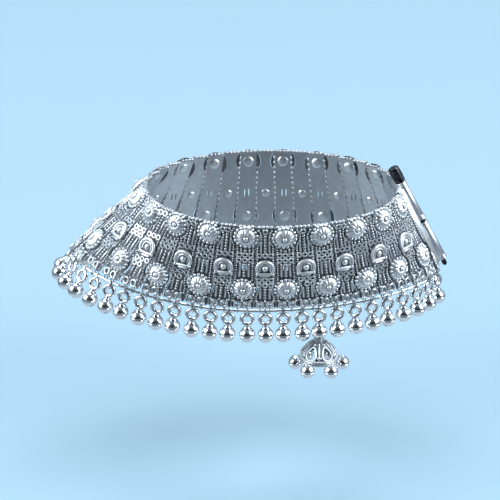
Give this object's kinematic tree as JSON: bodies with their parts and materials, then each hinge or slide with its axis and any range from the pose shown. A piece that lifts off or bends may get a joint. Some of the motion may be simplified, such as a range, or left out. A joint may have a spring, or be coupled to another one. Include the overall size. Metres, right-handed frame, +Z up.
{
  "type": "anklet",
  "caption": "Wide flexible payal anklet of bright silver links with rosettes, a fringe of round bells, a domed drop and a pin clasp.",
  "frame": {"origin": "on the leg's axis inside the band, where the ankle holds the anklet up", "axes": "+Z up the leg, +X towards the heel and the clasp, -X towards the toes, -Y the side with the drop"},
  "size_m": [0.1325, 0.0756, 0.0603],
  "materials": {
    "nickel_silver": "polished with darkened crevices",
    "dark_steel": "dark oxidised"
  },
  "bodies": {
    "band": {"rosette_link_01": "nickel_silver", "rosette_link_02": "nickel_silver", "rosette_link_03": "nickel_silver", "rosette_link_04": "nickel_silver", "rosette_link_05": "nickel_silver", "rosette_link_06": "nickel_silver", "rosette_link_07": "nickel_silver", "rosette_link_08": "nickel_silver", "rosette_link_09": "nickel_silver", "rosette_link_10": "nickel_silver", "rosette_link_11": "nickel_silver", "rosette_link_12": "nickel_silver", "rosette_link_13": "nickel_silver", "rosette_link_14": "nickel_silver", "rosette_link_15": "nickel_silver", "rosette_link_16": "nickel_silver", "rosette_link_17": "nickel_silver", "rosette_link_18": "nickel_silver", "rosette_link_19": "nickel_silver", "rosette_link_20": "nickel_silver", "shell_link_01": "nickel_silver", "shell_link_02": "nickel_silver", "shell_link_03": "nickel_silver", "shell_link_04": "nickel_silver", "shell_link_05": "nickel_silver", "shell_link_06": "nickel_silver", "shell_link_07": "nickel_silver", "shell_link_08": "nickel_silver", "shell_link_09": "nickel_silver", "shell_link_10": "nickel_silver", "shell_link_11": "nickel_silver", "shell_link_12": "nickel_silver", "shell_link_13": "nickel_silver", "shell_link_14": "nickel_silver", "shell_link_15": "nickel_silver", "shell_link_16": "nickel_silver", "shell_link_17": "nickel_silver", "shell_link_18": "nickel_silver", "shell_link_19": "nickel_silver", "end_bar_near": "nickel_silver", "end_bar_far": "nickel_silver", "bell_row_1": "nickel_silver", "bell_row_2": "nickel_silver", "bell_row_3": "nickel_silver", "bell_row_4": "nickel_silver", "bell_row_5": "nickel_silver", "bell_row_6": "nickel_silver", "bell_row_7": "nickel_silver", "bell_row_8": "nickel_silver", "bell_row_9": "nickel_silver", "bell_row_10": "nickel_silver"},
    "pin": {"clasp_pin": "dark_steel"},
    "drop": {"drop_hanger": "nickel_silver", "drop_dome": "nickel_silver", "drop_bells": "nickel_silver"}
  },
  "joints": [
    {"name": "clasp_pin_slide", "type": "slide", "parent": "band", "child": "pin", "axis": [-0.4765, 0, 0.8792], "range_m": [0, 0.036]},
    {"name": "drop_swing", "type": "hinge", "parent": "band", "child": "drop", "pos_m": [0.0152, -0.02842, -0.01814], "axis": [0.9843, 0.1714, 0.0427], "range_deg": [-60, 30]}
  ]
}
